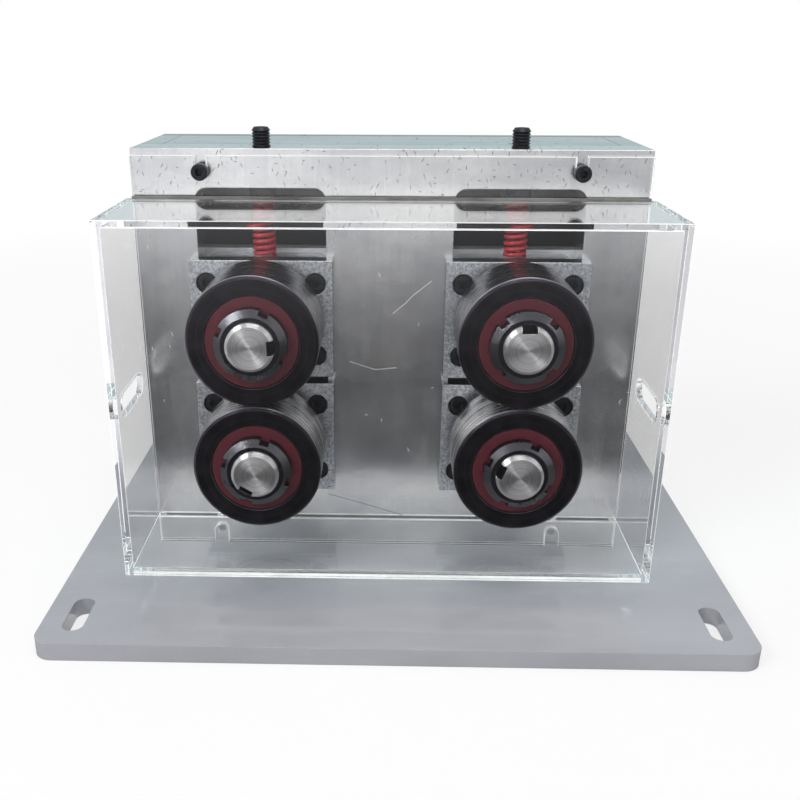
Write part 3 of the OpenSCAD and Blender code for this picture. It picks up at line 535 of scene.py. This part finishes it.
def weld_guard():
    """The panes welded into one clear body, since a solvent joint leaves no face inside."""
    shell, *others = [pane_copy(node) for node in PANES]
    shell.name = "guard_shell"
    for other in others:
        join = shell.modifiers.new("join", "BOOLEAN")
        join.operation, join.solver, join.object = "UNION", "EXACT", other
        freeze(shell)
        bpy.data.objects.remove(other)
    shape = bmesh.new()
    shape.from_mesh(shell.data)
    bmesh.ops.remove_doubles(shape, verts=shape.verts, dist=SAME_PLACE)
    bmesh.ops.dissolve_limit(shape, angle_limit=math.radians(1), verts=shape.verts, edges=shape.edges)
    # A hair of air behind the flanges keeps their back faces apart from the plate's front
    against_plate = [v for v in shape.verts if abs(v.co.y - BOX_FRONT) < SAME_PLACE]
    bmesh.ops.translate(shape, verts=against_plate, vec=(0, -0.08 * MM, 0))
    front_low, front_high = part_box("guard_front_pane")
    flange_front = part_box("guard_flanges")[0].y
    saw_strip(shape, (0, 0, -1), -front_low.z, (0, 1, 0), front_low.y, front_high.y)
    saw_strip(shape, (0, 1, 0), BOX_FRONT, (0, 0, 1), front_low.z, front_low.z + 1.2 * MM)
    for face in shape.faces:
        middle = face.calc_center_median()
        outside = not front_low.z < middle.z < front_high.z
        if abs(face.normal.y) < 0.5 and middle.y > flange_front and outside:
            face.material_index = SAWN
    shape.to_mesh(shell.data)
    shape.free()
    shell.data.materials.clear()
    for material in (clear_finish, arris_painted_glow_finish):
        shell.data.materials.append(material)
    arris = shell.modifiers.new("arris", "BEVEL")
    arris.width, arris.segments, arris.material = 0.3 * MM, 1, SAWN
    arris.limit_method, arris.angle_limit = "ANGLE", math.radians(40)
    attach(shell, "frame")
    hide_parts(*PANES)


def joint_ribbon(name, low, high, material):
    """A thin ribbon inside a clear joint, for cement where a sawn end meets the next sheet and for a line of
    painted shade.
    """
    shape = bmesh.new()
    bmesh.ops.create_cube(shape, size=1.0)
    bmesh.ops.scale(shape, verts=shape.verts, vec=high - low)
    bmesh.ops.translate(shape, verts=shape.verts, vec=(low + high) / 2)
    bmesh.ops.bevel(shape, geom=shape.edges, offset=min(high - low) / 4, segments=1, affect="EDGES",
                    profile=0.5, material=-1)
    ribbon = link(name, shape, material)
    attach(ribbon, "frame")


def run_cement():
    """The cement in two joints, bottom pane to front pane and lower flange to bottom pane, and a dark
    ribbon of painted shade in the corner of the top pane with the upper flange."""
    low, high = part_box("guard_bottom_pane")
    flange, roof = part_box("guard_flanges")[0].y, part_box("guard_top_pane")[1].z
    thin, wide, fillet = 0.1 * MM, 1.3 * MM, 0.5 * MM
    for line, material, (near, far), (bottom, top) in (
            ("front", cement_painted_glow_finish, (low.y - thin, low.y + thin), (low.z + thin, low.z + wide)),
            ("back", cement_painted_glow_finish, (flange, flange + wide), (low.z - thin, low.z + thin)),
            ("top", painted_shade_finish, (flange - fillet, flange), (roof, roof + wide))):
        joint_ribbon(f"joint_ribbon_{line}", Vector((low.x, near, bottom)), Vector((high.x, far, top)),
                    material)


weld_guard()
run_cement()


# ---------------------------------------------------------------- studio
def in_metal(tree):
    """1 for rays that come by metal or through glass."""
    return any_of(tree, add(tree, "LightPath", out="Is Glossy Ray"),
                  add(tree, "LightPath", out="Is Transmission Ray"))


def seen_clear(tree):
    """1 for rays straight from the camera, or from it through clear panes alone."""
    turns = add(tree, "Math", {0: add(tree, "LightPath", out="Glossy Depth"),
                               1: add(tree, "LightPath", out="Diffuse Depth")}, operation="ADD")
    return add(tree, "Math", {0: turns, 1: 0.5}, operation="LESS_THAN")


def build_floor():
    """White paper. Seen in metal, it is a bench top in front of the object: dim close by and pale far off."""
    shape = bmesh.new()
    bmesh.ops.create_grid(shape, x_segments=1, y_segments=1, size=12)
    bmesh.ops.translate(shape, verts=shape.verts, vec=(0, 0, -0.2 * MM))
    material, tree, shader, place = start("studio_paper")
    shader.inputs["Base Color"].default_value = paint("#f4f4f4")
    shader.inputs["Roughness"].default_value = 0.9
    shader.inputs["Specular IOR Level"].default_value = 0.0
    far = add(tree, "VectorMath", {0: place}, "Value", operation="LENGTH")
    ahead = add(tree, "SeparateXYZ", {0: place}, "Y")
    aside = add(tree, "SeparateXYZ", {0: place}, "X")
    close = add(tree, "MapRange", {0: ahead, 1: -0.10, 2: -0.14, 3: 0.9, 4: 0.0})
    away = add(tree, "MapRange", {0: ahead, 1: -0.25, 2: -1.25})
    away = add(tree, "Math", {0: away, 1: 1.8}, operation="POWER")
    level = any_of(tree, close, add(tree, "MapRange", {0: away, 3: 0.07, 4: 0.8}))
    sideways = add(tree, "MapRange", {0: aside, 1: -0.3, 2: 0.3, 3: 1.3, 4: 0.75})
    level = add(tree, "Math", {0: level, 1: sideways}, operation="MULTIPLY")
    straight = add(tree, "Emission", {"Color": "#ffffff"})
    bench = add(tree, "Emission", {"Color": "#fbfbff", "Strength": level})
    clean = add(tree, "MapRange", {0: far, 1: 0.25, 2: 1.0, 3: 0.65, 4: 1.0})
    share = add(tree, "Math", {0: seen_clear(tree), 1: clean}, operation="MULTIPLY")
    mixed = add(tree, "MixShader", {0: in_metal(tree), 1: shader.outputs[0], 2: bench})
    paper = add(tree, "MixShader", {0: share, 1: shader.outputs[0], 2: straight})
    show(tree, add(tree, "MixShader", {0: seen_clear(tree), 1: mixed, 2: paper}))
    link("floor", shape, material)


def build_world():
    """White all round for the camera, soft light for the object; in metal a pale sky colour behind, and
    in front a bright window low down and a dimmer room above it."""
    world = bpy.data.worlds.new("studio")
    bpy.context.scene.world = world
    world.use_nodes = True
    tree = world.node_tree
    tree.nodes.clear()
    direction = add(tree, "TexCoord", out="Generated")
    toward, above = (add(tree, "SeparateXYZ", {0: direction}, axis) for axis in ("Y", "Z"))
    ceiling = add(tree, "MapRange", {0: above, 1: 0.25, 2: 0.6, 3: 1.2, 4: 0.5})
    level = add(tree, "Mix", {0: add(tree, "MapRange", {0: toward, 1: -0.1, 2: -0.7}), 2: 0.9, 3: ceiling})
    sky = two_tone(tree, toward, 0.3, 0.8, "#ffffff", "#c9dadd")
    light = add(tree, "Background", {"Color": "#ffffff", "Strength": 0.55})
    room = add(tree, "Background", {"Color": sky, "Strength": level})
    straight = add(tree, "Background", {"Color": "#ffffff"})
    mixed = add(tree, "MixShader", {0: in_metal(tree), 1: light, 2: room})
    mixed = add(tree, "MixShader", {0: seen_clear(tree), 1: mixed, 2: straight})
    add(tree, "OutputWorld", {"Surface": mixed})


def hang_lamps():
    """Three soft area lamps aimed at the middle of the box: place, size and power in watts."""
    for name, spot, size, power in (("lamp_over", (0.1, -0.5, 1.5), (1.0, 0.7), 7.5),
                                    ("lamp_left", (-1.1, -1.0, 1.1), (0.5, 0.5), 10.5),
                                    ("lamp_right", (1.2, -0.9, 0.8), (0.6, 0.6), 1.0)):
        light = bpy.data.lights.new(name, "AREA")
        light.shape = "RECTANGLE"
        light.size, light.size_y = size
        light.energy = power
        lamp = bpy.data.objects.new(name, light)
        lamp.location = spot
        lamp.rotation_euler = (Vector((0, 0, 0.1)) - Vector(spot)).to_track_quat("-Z", "Y").to_euler()
        bpy.context.scene.collection.objects.link(lamp)


build_floor()
build_world()
hang_lamps()
bpy.context.scene.view_settings.view_transform = "Standard"
cycles = bpy.context.scene.cycles
# Light crosses many acrylic faces between two mirrors, so its paths are long
cycles.max_bounces = cycles.transmission_bounces = cycles.glossy_bounces = 40
cycles.transparent_max_bounces = 24
